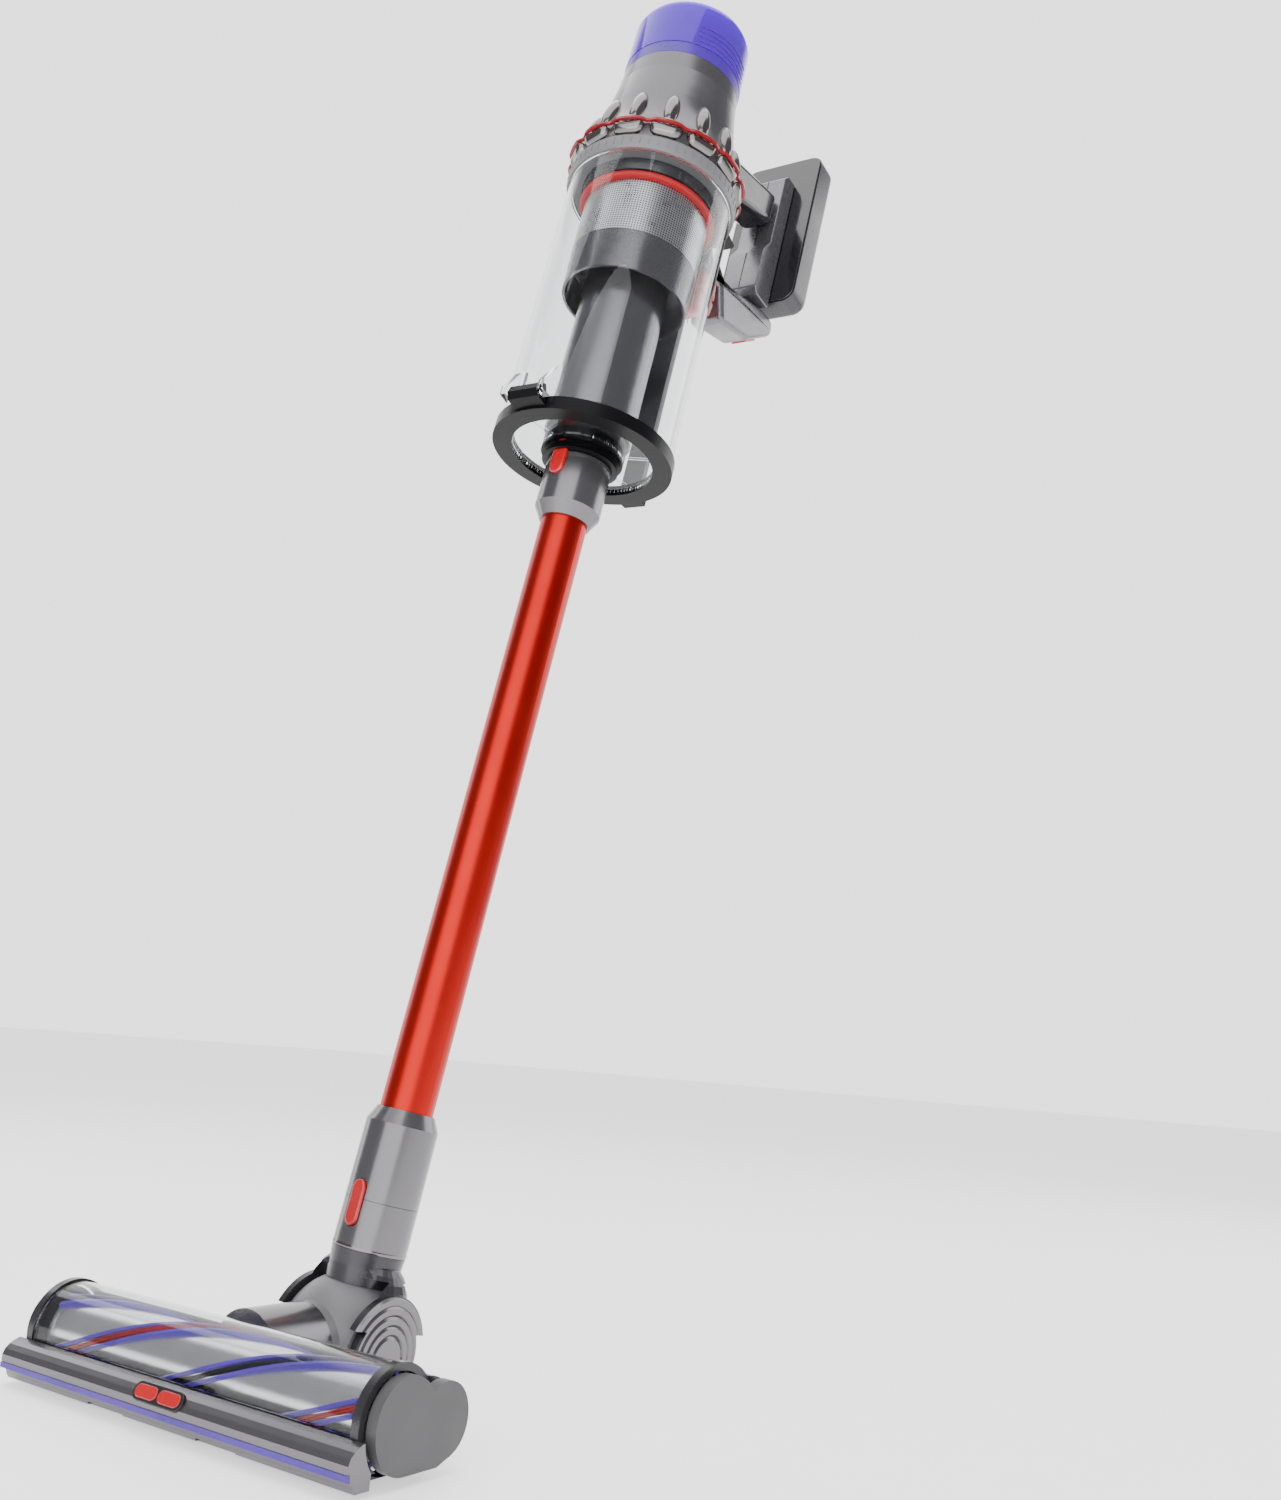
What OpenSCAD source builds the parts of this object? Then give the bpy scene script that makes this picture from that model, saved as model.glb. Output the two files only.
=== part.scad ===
// Cordless stick vacuum cleaner with a powered floor head, standing with its wand leaning back.
// X runs along the head's width, Y towards the back, Z up. Lengths are in millimetres.
// "Station" is the distance along the wand's axis from the elbow's pivot.

/* [Pose] */
// Lean of the wand back from upright, in degrees
lean = 8.1; // [0:0.1:14]
// Sideways roll of the neck, in degrees
roll = 5.5; // [-8:0.1:8]
// Pivot of the elbow behind the head's front
pivot_y = 150.5; // [148:0.5:156]
// Height of the elbow's pivot above the floor
pivot_z = 34.2; // [33:0.1:37]

/* [Cleaner head] */
// Width of the head
head_w = 320; // [290:1:340]
// Radius of the clear window over the brush bar
window_r = 29.5; // [29:0.1:30.5]
// Radius of the brush bar's core
core_r = 21.5; // [18:0.1:22]
// Radius of the sweep of the bristle strips
bristle_r = 25.5; // [24:0.1:26]
// Radius of the neck duct
neck_r = 30; // [27:0.5:31]
// Radius of a rear wheel
wheel_r = 9; // [7:0.5:9.5]

/* [Wand] */
// Radius of the wand's tube
tube_r = 19.75; // [18:0.05:20]
// Radius of the lower cuff
cuff_r = 26.5; // [25:0.1:28]
// Radius of the upper cuff
top_cuff_r = 28.1; // [27:0.1:29]
// Station of the bottom of the bare tube
tube_low = 155; // [150:1:165]
// Station of the top of the bare tube
tube_high = 636.5; // [630:0.5:640]

/* [Bin and cyclones] */
// Outer radius of the clear bin
bin_r = 76; // [74:0.5:77]
// Station of the bin's bottom edge
bin_low = 712; // [710:1:714]
// Station of the bin's top edge
bin_high = 968; // [960:1:968]
// Radius of the fine mesh shroud
mesh_r = 57.5; // [52:0.5:58]
// Number of small cyclones
cyclones = 14; // [10:1:15]
// How far the bin slides down when it is emptied
bin_travel = 45; // [20:1:50]

/* [Motor and filter] */
// Radius of the motor housing at its lower seam
cone_low_r = 62.7; // [60:0.1:63]
// Radius of the motor housing under the filter
cone_high_r = 55.7; // [54:0.1:57]
// Station of the motor housing's lower seam
cone_low = 1047.5; // [1045:0.5:1050]
// Station of the filter's lower edge
filter_low = 1101; // [1098:0.5:1104]
// Height of the filter
filter_h = 68; // [60:0.5:75]

/* [Handle and battery] */
// Width of the grip
grip_w = 34; // [28:1:38]
// Distance from the wand's axis to the battery's inner face
battery_y = 197; // [196:0.5:205]
// Width of the battery
battery_w = 92; // [88:1:96]
// Thickness of the battery
battery_t = 33; // [28:1:36]
// Length of the battery along the wand's axis
battery_h = 186; // [180:1:190]

/* [Placement] */
// Shift that puts the origin under the middle of the machine, sideways
mid_x = 9.54;
// Shift that puts the origin under the middle of the machine, front to back
mid_y = 269.4;

/* [Hidden] */
$fn = 64;
eps = 1;
gap = 0.3;
running = 0.05;

roller_y = 37.5;
roller_z = 31.5;
lobe_y = 70.5;
lobe_z = 29.5;
lobe_r = 20.5;
cap_r = 25.3;
cap_t = 7.7;
ring_t = 6;
end_x = head_w / 2;
ring_x = end_x - cap_t - gap - ring_t;
body_x = ring_x - gap;
sole_z = 3.5;
wheel_x = 106;
wheel_y = 84;
axle_r = 2.5;
wheel_lug = [[74, 12], [82, 5.2], [86, 5.2], [88.5, 9], [87, 20], [74, 25]];

elbow_r = 46;
elbow_half = 32;
ear_r = 39;
ear_in = elbow_half + gap;
ear_t = 4.7;
boss_r = 10;
seam_y = 42;
spigot_r = 24;
air_r = 17;

yoke_top = 60;
head_cuff_top = 92.3;
chamfer_low = 145;
cuff_grip = 128;
wall = 1.2;

top_cuff_full = 647.5;
top_cuff_end = 691;
nozzle_low = top_cuff_end + gap;
nozzle_high = 721.5;
nozzle_bore = 20.5;

collar_high = 984;
band_low = 1022;
cup_ring_r = 70.5;
cup_r = 12.4;
pod_r = 34;
filter_high = filter_low + filter_h;
motor_high = 1098;
pod_high = filter_high - 8;

trigger_y = 101;
trigger_z = 1034;
hinge_y = -88;
battery_low = 1002;
stem_y = 178;

// ---------- frames ----------
module on_head() translate([-mid_x, -mid_y, 0]) children();
module on_elbow() on_head() translate([0, pivot_y, pivot_z]) rotate([0, roll, 0]) children();
module on_wand() on_elbow() rotate([-lean, 0, 0]) children();

// ---------- shared shapes ----------
module tube(low, high, r_out, r_in) {
    translate([0, 0, low]) difference() {
        cylinder(h = high - low, r = r_out);
        translate([0, 0, -eps]) cylinder(h = high - low + 2 * eps, r = r_in);
    }
}

module lathe(points) rotate_extrude() polygon(points);

module along_x(x0, x1) translate([x0, 0, 0]) rotate([90, 0, 90]) linear_extrude(x1 - x0) children();

module rod_x(x0, x1, y, z, r) translate([x0, y, z]) rotate([0, 90, 0]) cylinder(h = x1 - x0, r = r);

module rod_y(y0, y1, x, z, r) translate([x, y0, z]) rotate([-90, 0, 0]) cylinder(h = y1 - y0, r = r);

module side_plate(x0, x1, points) along_x(x0, x1) polygon(points);

module block(x, y0, y1, z0, z1) translate([-x, y0, z0]) cube([2 * x, y1 - y0, z1 - z0]);

// A capsule on the front of a cuff, lying along the axis
module front_capsule(low, high, r, y0, y1) hull() {
    rod_y(y0, y1, 0, low + r, r, $fn = 32);
    rod_y(y0, y1, 0, high - r, r, $fn = 32);
}

module head_outline(r_front, r_back) {
    translate([roller_y, roller_z]) circle(r = r_front);
    translate([lobe_y, lobe_z]) circle(r = r_back);
    translate([roller_y, roller_z - r_front]) square([lobe_y - roller_y, r_front]);
}

// ---------- motor housing and filter ----------
module motor_housing() color("dimgray") on_wand() difference() {
    lathe([[cone_low_r, cone_low], [60.6, 1062], [57.4, 1083], [cone_high_r, filter_low - gap],
           [cone_high_r - 2.5, filter_low - gap], [54.8, 1083], [58, 1062], [cone_low_r - 2.6, cone_low]]);
    rod_y(20, 80, 0, 1070, 8);
}

module cyclone_band() color("gainsboro") on_wand()
    lathe([[56, band_low], [71, band_low], [69, 1032], [64.5, 1040], [63.4, cone_low - gap], [56, cone_low - gap]]);

module cyclone_cup() {
    cylinder(h = 22, r = cup_r);
    translate([0, 0, 22]) cylinder(h = 15.4, r1 = cup_r, r2 = 9);
}

module cyclone_cups() color("gainsboro") on_wand() {
    difference() {
        tube(collar_high + gap, band_low - gap, 64, 54);
        for (i = [0 : cyclones - 1]) rotate(i * 360 / cyclones)
            translate([cup_ring_r, 0, collar_high]) cylinder(h = 40, r = cup_r + 0.1);
    }
    for (i = [0 : cyclones - 1]) rotate(i * 360 / cyclones)
        translate([cup_ring_r, 0, collar_high + gap]) cyclone_cup();
}

module cyclone_trim() color("firebrick") on_wand() tube(1004, 1006, 84, 83.1);

module bin_collar() color("gray") on_wand()
    lathe([[64.2, bin_high + gap], [78, bin_high + gap], [79, 972], [79, 980], [76, collar_high],
           [64.2, collar_high]]);

module shroud_top() color("dimgray") on_wand()
    lathe([[38.1, 958.3], [62.5, 958.3], [64, 968], [64, collar_high], [38.1, collar_high]]);

module red_seal() color("red") on_wand() tube(951, 958, 62.5, mesh_r + 0.2);

module mesh_shroud() color("silver") on_wand() tube(898, 958, mesh_r, mesh_r - 1.5);

module shroud_skirt() color("dimgray") on_wand()
    lathe([[mesh_r, 897.7], [56.4, 859], [53.9, 859], [55, 892], [38.1, 894], [38.1, 897.7]]);

module centre_duct() color("gray") on_wand() tube(722, 984, 38, 35);

module motor_frame() color("darkgray") on_wand() {
    tube(1052, motor_high, 38, 34);
    for (low = [1052, motor_high - 5]) difference() {
        tube(low, low + 5, 34, 4 + running);
        for (a = [30 : 60 : 330]) rotate(a) translate([20, 0, low - eps]) cylinder(h = 8, r = 6);
    }
    difference() {
        tube(cone_low, 1053, 57.5, 30);
        for (a = [0 : 60 : 300]) rotate(a) translate([47, 0, cone_low - eps]) cylinder(h = 8, r = 7);
    }
}

module motor_stator() color("peru") on_wand() tube(1068, 1092, 33.8, 17);

module motor_rotor() color("silver") on_wand() {
    translate([0, 0, 1049]) cylinder(h = motor_high - 1051, r = 4);
    translate([0, 0, 1070]) cylinder(h = 21, r = 16);
    translate([0, 0, 1058]) cylinder(h = 3, r = 28);
    for (a = [0 : 40 : 320]) rotate(a) translate([3, -0.8, 1060]) cube([24, 1.6, 6]);
}

module circuit_board() color("darkgreen") on_wand() translate([0, 0, motor_high + gap]) cylinder(h = 2, r = 33);

module display_pod() color("dimgray") on_wand() difference() {
    translate([0, 0, motor_high + 2.6]) cylinder(h = pod_high - motor_high - 2.6, r = pod_r);
    translate([0, 24, pod_high - 4]) cylinder(h = 6, r = 5.3);
    translate([0, -6, pod_high - 2]) cylinder(h = 4, r = 24.2);
}

module display_screen() color("black") on_wand() translate([0, -6, pod_high - 2]) cylinder(h = 2.4, r = 24);

module mode_button() color("darkgray") on_wand() translate([0, 24, pod_high - 1.7]) cylinder(h = 4, r = 5);

module filter_cap() color("blueviolet") on_wand()
    lathe([[cone_high_r + 0.3, filter_low + 12], [cone_high_r, filter_high - 10], [54.5, filter_high - 4.5],
           [51, filter_high - 1], [47, filter_high], [36, filter_high], [36, filter_high - 2.5], [46, filter_high - 2.5],
           [51, filter_high - 6], [52.5, filter_high - 11], [52.8, filter_low + 12]]);

module filter_pleats() color("mediumpurple") on_wand() tube(filter_low + 12, filter_high - 8, 50.5, 37);

module filter_band() color("indigo") on_wand() tube(filter_low, filter_low + 11.7, cone_high_r, 37);

// ---------- handle and battery ----------
module handle_grip() color("dimgray") on_wand() difference() {
    hull() {
        for (x = [-8, 8]) {
            rod_y(60, 62, x, 1056, 9, $fn = 24);
            rod_y(60, 62, x, 1086, 9, $fn = 24);
            rod_y(174, 176, x, 1092, 9, $fn = 24);
            rod_y(174, 176, x, 1114, 9, $fn = 24);
        }
    }
    translate([0, 0, 1000]) cylinder(h = 150, r1 = 66, r2 = 59, $fn = 96);
    block(30, 175.9, 190, 1000, 1160);
}

module handle_base() color("gray") on_wand() difference() {
    side_plate(-20, 20, [[166, 1000], [172, 994], [196.7, 994], [196.7, 1152], [182, 1152], [176, 1146],
                         [176, 1062], [166, 1046]]);
    translate([-14.4, stem_y - 0.5, 1044]) cube([28.8, 40, 61]);
    block(30, 160, 176.2, 1046, 1160);
}

// The battery's release button sits square on the strut's sloping lower face
function battery_button_outline(half, out, deep) = [
    for (corner = [[-half, out], [half, out], [half, -deep], [-half, -deep]])
        [196, 957.2] + corner[0] * [0.78, 0.625] + corner[1] * [0.625, -0.78]];

module handle_strut() color("silver") on_wand() difference() {
    side_plate(-grip_w / 2, grip_w / 2, [[85, 992], [85, 964], [113, 964], [128, 930], [182, 946],
                                         [222, 978], [218, 993.5], [196, 993.5], [104, 968], [97, 992]]);
    for (x = [-20, 11.7]) rod_x(x, x + 8.3, 177, 966, 4.2);
    side_plate(-8.3, 8.3, battery_button_outline(10.3, 3, 9));
}

module handle_rail() color("gray") on_wand() {
    side_plate(-12, 12, [[85, 992.3], [96, 992.3], [96, 1057.4], [85, 1053.9]]);
    for (x = [-10.2, 6.4]) translate([x, 95, 1028]) cube([3.8, 9, 12]);
    rod_x(-8, 8, trigger_y, trigger_z, 2.5);
}

module handle_screws() color("dimgray") on_wand()
    for (x = [-16, 11.8]) rod_x(x, x + 4.2, 177, 966, 4);

module trigger() color("black") on_wand() difference() {
    union() {
        rod_x(-6, 6, trigger_y, trigger_z, 4.5);
        side_plate(-6, 6, [[101, 1030], [112, 1025], [132, 1023], [135, 1028], [122, 1032], [101, 1038]]);
    }
    rod_x(-10, 10, trigger_y, trigger_z, 2.5 + running);
}

module battery_outline(inset) hull() {
    for (x = [-1, 1]) for (z = [battery_low + 14, battery_low + battery_h - 14])
        rod_y(battery_y + inset, battery_y + battery_t - inset, x * (battery_w / 2 - 14), z, 14 - inset, $fn = 32);
}

module battery_case() color("dimgray") on_wand() {
    difference() {
        battery_outline(0);
        battery_outline(2.6);
    }
    translate([-14, stem_y, 1044.4]) cube([28, battery_y - stem_y + 2, 60.2]);
}

module battery_cells() color("steelblue") on_wand()
    for (x = [-29.4, -9.8, 9.8, 29.4]) for (z = [1024, 1096])
        translate([x, battery_y + battery_t / 2, z]) cylinder(h = 65, r = 9.2);

module battery_button() color("red") on_wand() side_plate(-8, 8, battery_button_outline(10, 1.5, 6));

// ---------- bin and its flap ----------
module bin_cylinder() color("lightblue", 0.35) on_wand() tube(bin_low, bin_high, bin_r, bin_r - 2);

module bin_spine() color("dimgray") on_wand() difference() {
    side_plate(-11, 11, [[68, bin_low], [81, bin_low], [81, 960], [68, 960]]);
    translate([0, 0, 700]) cylinder(h = 300, r = bin_r + 0.02);
}

module hinge_bracket() color("lightgray", 0.5) on_wand() difference() {
    union() {
        for (x = [-22, 16]) side_plate(x, x + 6, [[-74, 716], [-74, 742], [-82, 736], [-94, 716], [-94, 708], [-84, 706]]);
        rod_x(-22, 22, hinge_y, bin_low, 2.5);
    }
    translate([0, 0, 700]) cylinder(h = 300, r = bin_r + 0.05);
    translate([0, 0, 690]) cylinder(h = 22, r = 79.4);
}

module bin_lever() color("red") on_wand() {
    side_plate(-9, 9, [[85.5, 920], [92, 914], [108, 920], [111, 938], [108, 960], [85.5, 962]]);
    block(4, 81.3, 85.5, 730, 955);
}

module flap_rim() color("dimgray") on_wand() {
    tube(700, bin_low - gap, 79, 62);
    difference() {
        side_plate(-15.4, 15.4, [[-77, 702], [-90, 704], [-93, 710], [-91, 716], [-86, 717], [-83, 711], [-77, 711]]);
        tube(690, 720, 78.9, 1);
        rod_x(-20, 20, hinge_y, bin_low, 2.5 + running);
    }
    difference() {
        block(11, 70, 88, 702, 711);
        translate([0, 0, 690]) cylinder(h = 30, r = 78.9);
    }
}

module flap_window() color("lightblue", 0.35) on_wand() tube(703, 707, 62, 36);

module flap_nozzle() color("dimgray") on_wand() difference() {
    lathe([[nozzle_bore, nozzle_low], [28.2, nozzle_low], [28.6, 697], [32, 697], [32, 700], [36, 700],
           [36, nozzle_high], [nozzle_bore, nozzle_high]]);
    front_capsule(669.6, 703.6, 7.3, -40, -22);
}

// ---------- wand ----------
module wand_tube() color("crimson") on_wand() tube(cuff_grip + gap, tube_high + 12, tube_r, tube_r - wall);

module upper_cuff() color("silver") on_wand() difference() {
    union() {
        lathe([[tube_r + running, tube_high], [21.6, tube_high], [top_cuff_r, top_cuff_full],
               [top_cuff_r, top_cuff_end], [tube_r + running, top_cuff_end]]);
        tube(tube_high + 12.3, 727, nozzle_bore - 0.4, 17.5);
    }
    front_capsule(669.6, 703.6, 7.3, -34, -23.4);
}

module lower_cuff() color("silver") on_wand() difference() {
    lathe([[19, head_cuff_top + gap], [cuff_r, head_cuff_top + gap], [cuff_r, chamfer_low], [21.3, tube_low],
           [tube_r + running, tube_low], [tube_r + running, cuff_grip], [19, cuff_grip]]);
    front_capsule(73.6, 105.4, 5.9, -32, -22.6);
}

module cable_channel() color("black") on_wand()
    translate([-5, 13.2, cuff_grip + 2]) cube([10, 3.2, tube_high - cuff_grip]);

module wand_button() color("red") on_wand() front_capsule(670, 703.2, 7, -30.2, -25.5);

module head_button() color("red") on_wand() front_capsule(74, 105, 5.5, -28.4, -24.5);

// ---------- yoke and elbow ----------
module head_cuff() color("silver") on_wand() difference() {
    union() {
        tube(yoke_top + gap, head_cuff_top, cuff_r, 16.6);
        tube(head_cuff_top, cuff_grip - 2, 18.6, 16.6);
    }
    front_capsule(73.6, 105.4, 5.9, -32, -22.6);
}

module ear_disc(x0, x1) intersection() {
    rod_x(x0, x1, 0, 0, ear_r);
    union() {
        rod_x(x0 - 1, x1 + 1, 0, 0, 30);
        translate([-60, -50, 16]) cube([120, 100, 40]);
    }
}

module yoke() color("dimgray") on_wand() difference() {
    union() {
        lathe([[air_r, 30], [24.5, 30], [25.4, 50], [cuff_r - 0.2, yoke_top], [air_r, yoke_top]]);
        intersection() {
            union() {
                for (x = [-ear_in - ear_t, ear_in]) side_plate(x, x + ear_t, [[-22, 20], [22, 20], [19, 56], [-19, 56]]);
                translate([-ear_in - ear_t, -17, 46]) cube([2 * (ear_in + ear_t), 34, 9]);
            }
            hull() {
                for (x = [-1, 1]) translate([x * 11, 0, 32]) sphere(r = 26.5, $fn = 32);
            }
        }
        ear_disc(ear_in, ear_in + ear_t);
        ear_disc(-ear_in - ear_t, -ear_in);
    }
    difference() {
        sphere(r = elbow_r + 0.6);
        block(200, -100, 100, -200, -60);
        for (x = [ear_in, -ear_in - 40]) translate([x, -60, -60]) cube([40, 120, 120]);
    }
    rod_x(-60, 60, 0, 0, boss_r + running);
    translate([0, 0, 20]) cylinder(h = 60, r = air_r);
}

module pivot_covers() color("gray") on_wand() for (side = [0, 1]) mirror([side, 0, 0]) intersection() {
    ear_disc(ear_in + ear_t, ear_in + ear_t + 4);
    translate([ear_in + ear_t, 0, 0]) rotate([0, 90, 0]) rotate_extrude() polygon([
        [0, 0], [38.4, 0], [37.4, 1.6], [34, 1.6], [33, 1], [31.5, 2.2], [28, 2.2], [27, 1.4], [25.5, 2.8],
        [22, 2.8], [21, 1.8], [19.5, 3.2], [16, 3.2], [15, 2], [13, 3.4], [0, 3.4]]);
}

module elbow() color("gray") on_elbow() difference() {
    union() {
        intersection() {
            union() {
                intersection() {
                    sphere(r = elbow_r);
                    translate([-50, -seam_y + gap, 0]) cube([100, 120, 60]);
                }
                sphere(r = 33.5);
            }
            block(elbow_half, -seam_y + gap, 60, -31, 60);
        }
        rod_y(-seam_y + gap, -10, 0, 0, neck_r);
        rod_y(-seam_y - 18, -30, 0, 0, spigot_r - running);
        rod_x(-ear_in - ear_t + 0.4, ear_in + ear_t - 0.4, 0, 0, boss_r);
    }
    rod_y(-80, 0, 0, 0, air_r);
    for (a = [0 : 25 : 75]) rotate([-a, 0, 0]) cylinder(h = 60, r = air_r);
    sphere(r = air_r + 0.8);
}

// ---------- cleaner head ----------
module neck_duct() color("gray") on_head() difference() {
    translate([0, pivot_y, pivot_z]) difference() {
        rod_y(-92, -seam_y, 0, 0, neck_r);
        rod_y(-70, -20, 0, 0, spigot_r);
        rod_y(-110, -50, 0, 0, 20);
    }
    rod_x(-60, 60, roller_y, roller_z, window_r + 0.6);
}

module head_body() color("dimgray") on_head() {
    difference() {
        along_x(-body_x, body_x) difference() {
            union() {
                head_outline(window_r - 0.2, lobe_r);
                translate([16, sole_z]) square([58, 3]);
                polygon([[56.2, 53], [70, 50.2], [70, 20], [50, 20]]);
            }
            translate([roller_y, roller_z]) circle(r = window_r - 1.7);
            translate([roller_y, roller_z]) polygon([[0, 0], [35.3, 44], [0, 60], [-60, 60], [-60, -8.5]]);
            translate([0, -20]) square([100, 20 + sole_z]);
        }
        translate([-body_x + 10, 24, 0]) cube([2 * body_x - 20, 27, 12]);
        rod_y(40, 120, 0, pivot_z, neck_r + 0.2);
        for (x = [-wheel_x, wheel_x]) translate([x - 8, 71, -5]) cube([16, 30, 28]);
    }
    for (x = [-wheel_x, wheel_x]) {
        rod_x(x - 9, x + 9, wheel_y, wheel_r, axle_r - running);
        for (lug = [x - 10.5, x + 8]) side_plate(lug, lug + 2.5, wheel_lug);
    }
}

module head_window() color("lightblue", 0.35) on_head() along_x(-body_x, body_x)
    translate([roller_y, roller_z]) difference() {
        circle(r = window_r);
        circle(r = window_r - 1.4);
        polygon([[0, 0], [-60, -8], [-60, -60], [60, -60], [60, 77]]);
    }

module window_rings() color("silver") on_head() for (x = [-ring_x - ring_t, ring_x]) difference() {
    rod_x(x, x + ring_t, roller_y, roller_z, window_r + 1.2);
    rod_x(x - 1, x + ring_t + 1, roller_y, roller_z, window_r - 3.2);
    translate([x - 1, 0, -10]) cube([ring_t + 2, 80, 10 + sole_z]);
    translate([x - 1, 14, -10]) cube([ring_t + 2, 80, 19]);
}

module front_bumper() color("silver") on_head() difference() {
    along_x(-end_x + 2, end_x - 2) difference() {
        polygon([[10, 27.6], [6, 27.2], [2.6, 25.8], [-0.6, 24], [-3.4, 21.4], [-4.8, 18], [-4.6, 14], [-3, 14],
                 [-2.2, 9.5], [-0.6, 9.5], [0.8, 6], [2.4, sole_z], [13.7, sole_z], [13.7, 14]]);
        translate([roller_y, roller_z]) circle(r = window_r + 1.5);
    }
    for (x = [-71, 31]) translate([x, -8, -1]) cube([34, 12, 6.4]);
    translate([-14, -8, 19.6]) cube([28, 10, 3.6]);
}

module felt_strip() color("indigo") on_head() along_x(-end_x + 2, end_x - 2)
    polygon([[-3.1, 13.8], [-5.1, 13.4], [-5, 10.4], [-3, 9.8], [-2.4, 9.8]]);

module left_cap() color("gray") on_head() along_x(-end_x, -end_x + cap_t) difference() {
    head_outline(cap_r, lobe_r);
    translate([0, -20]) square([100, 20 + sole_z]);
}

module brush_motor() color("darkgray") on_head() {
    rod_x(-end_x + cap_t, -40, roller_y, roller_z, 14);
    rod_x(-40, -20, roller_y, roller_z, 4);
}

module brush_core() color("white") on_head() difference() {
    rod_x(-body_x + 4, body_x - 4, roller_y, roller_z, core_r);
    rod_x(-body_x, -36, roller_y, roller_z, 15);
    rod_x(-40, -10, roller_y, roller_z, 4 + running);
    rod_x(body_x - 16, body_x, roller_y, roller_z, 6 + running);
}

module brush_strips() color("mediumslateblue") on_head()
    translate([-body_x + 5, roller_y, roller_z]) rotate([0, 90, 0])
    linear_extrude(2 * body_x - 10, twist = 250, slices = 48, $fn = 1)
    for (a = [0, 90, 180, 270]) rotate(a) polygon([[core_r + 0.3, -3], [bristle_r, -1.6], [bristle_r, 1.6], [core_r + 0.3, 3]]);

module end_cap() color("gray") on_head() {
    along_x(end_x - cap_t, end_x) difference() {
        head_outline(cap_r, lobe_r);
        translate([0, -20]) square([100, 20 + sole_z]);
    }
    rod_x(body_x - 14, end_x - cap_t, roller_y, roller_z, 6);
}

module suction_slider() color("red") on_head() {
    side_plate(-20.5, 20.5, [[-3.6, 21.8], [-5.1, 18.6], [-6.8, 18], [-5.2, 22.4], [-1, 26.2], [-0.9, 24.6]]);
    translate([-3.5, -5.2, 20]) cube([7, 6.4, 2.8]);
}

module wheel(x) color("dimgray") on_head() difference() {
    rod_x(x - 6, x + 6, wheel_y, wheel_r, wheel_r);
    rod_x(x - 10, x + 10, wheel_y, wheel_r, axle_r);
}

module wheel_left() wheel(-wheel_x);
module wheel_right() wheel(wheel_x);

motor_housing();
cyclone_band();
cyclone_cups();
cyclone_trim();
bin_collar();
shroud_top();
red_seal();
mesh_shroud();
shroud_skirt();
centre_duct();
motor_frame();
motor_stator();
motor_rotor();
circuit_board();
display_pod();
display_screen();
mode_button();
filter_cap();
filter_pleats();
filter_band();
handle_grip();
handle_base();
handle_strut();
handle_rail();
handle_screws();
trigger();
battery_case();
battery_cells();
battery_button();
bin_cylinder();
bin_spine();
hinge_bracket();
bin_lever();
flap_rim();
flap_window();
flap_nozzle();
wand_tube();
upper_cuff();
lower_cuff();
cable_channel();
wand_button();
head_button();
head_cuff();
yoke();
pivot_covers();
elbow();
neck_duct();
head_body();
head_window();
window_rings();
front_bumper();
felt_strip();
left_cap();
brush_motor();
brush_core();
brush_strips();
end_cap();
suction_slider();
wheel_left();
wheel_right();
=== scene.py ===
import math

import bmesh
import bpy
from mathutils import Matrix, Vector


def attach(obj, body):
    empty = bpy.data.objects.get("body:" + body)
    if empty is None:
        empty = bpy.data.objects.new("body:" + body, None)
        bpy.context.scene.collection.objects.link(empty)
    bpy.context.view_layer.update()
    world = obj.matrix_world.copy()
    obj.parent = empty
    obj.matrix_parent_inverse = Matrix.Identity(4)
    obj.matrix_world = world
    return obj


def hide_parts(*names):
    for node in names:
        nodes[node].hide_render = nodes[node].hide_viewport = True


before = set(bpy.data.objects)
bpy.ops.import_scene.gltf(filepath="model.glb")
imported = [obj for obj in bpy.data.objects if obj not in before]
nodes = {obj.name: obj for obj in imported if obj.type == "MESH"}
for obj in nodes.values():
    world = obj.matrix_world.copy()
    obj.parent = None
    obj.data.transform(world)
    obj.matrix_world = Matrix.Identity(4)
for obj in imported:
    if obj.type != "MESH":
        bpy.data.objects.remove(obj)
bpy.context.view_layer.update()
mm = 0.001

# Where the machine's parts stand: millimetres and degrees, the same as in the CAD
stand = {"midX": 9.54, "midY": 269.4, "pivotY": 150.5, "pivotZ": 34.2, "lean": 8.1, "roll": 5.5}
toMetres = Matrix.Scale(mm, 4)
headFrame = Matrix.Translation(Vector((-stand["midX"], -stand["midY"], 0)) * mm) @ toMetres
elbowFrame = (headFrame @ Matrix.Translation((0, stand["pivotY"], stand["pivotZ"]))
              @ Matrix.Rotation(math.radians(stand["roll"]), 4, "Y"))
wandFrame = elbowFrame @ Matrix.Rotation(math.radians(-stand["lean"]), 4, "X")

# Materials


def linear(code):
    # sRGB hex to the linear colour that the shader reads
    parts = [int(code[i:i + 2], 16) / 255 for i in (1, 3, 5)]
    return tuple(c / 12.92 if c <= 0.04045 else ((c + 0.055) / 1.055) ** 2.4 for c in parts) + (1,)


def addNode(tree, kind, settings=None, links=None):
    # One node, with its settings and the sockets that feed it. A socket goes by its name, or by its
    # number where names repeat; stops are the places and colours of a colour ramp
    node = tree.nodes.new(kind)
    for key, value in (settings or {}).items():
        if key == "stops":
            for stop, (position, colour) in zip(node.color_ramp.elements, value):
                stop.position = position
                stop.color = colour
        elif isinstance(key, int) or key in node.inputs:
            node.inputs[key].default_value = value
        else:
            setattr(node, key, value)
    for key, source in (links or {}).items():
        tree.links.new(source, node.inputs[key])
    return node


def grey(value):
    return (value, value, value, 1)


def newMaterial(name):
    material = bpy.data.materials.new(name)
    material.use_nodes = True
    return material, material.node_tree, material.node_tree.nodes["Principled BSDF"]


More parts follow.
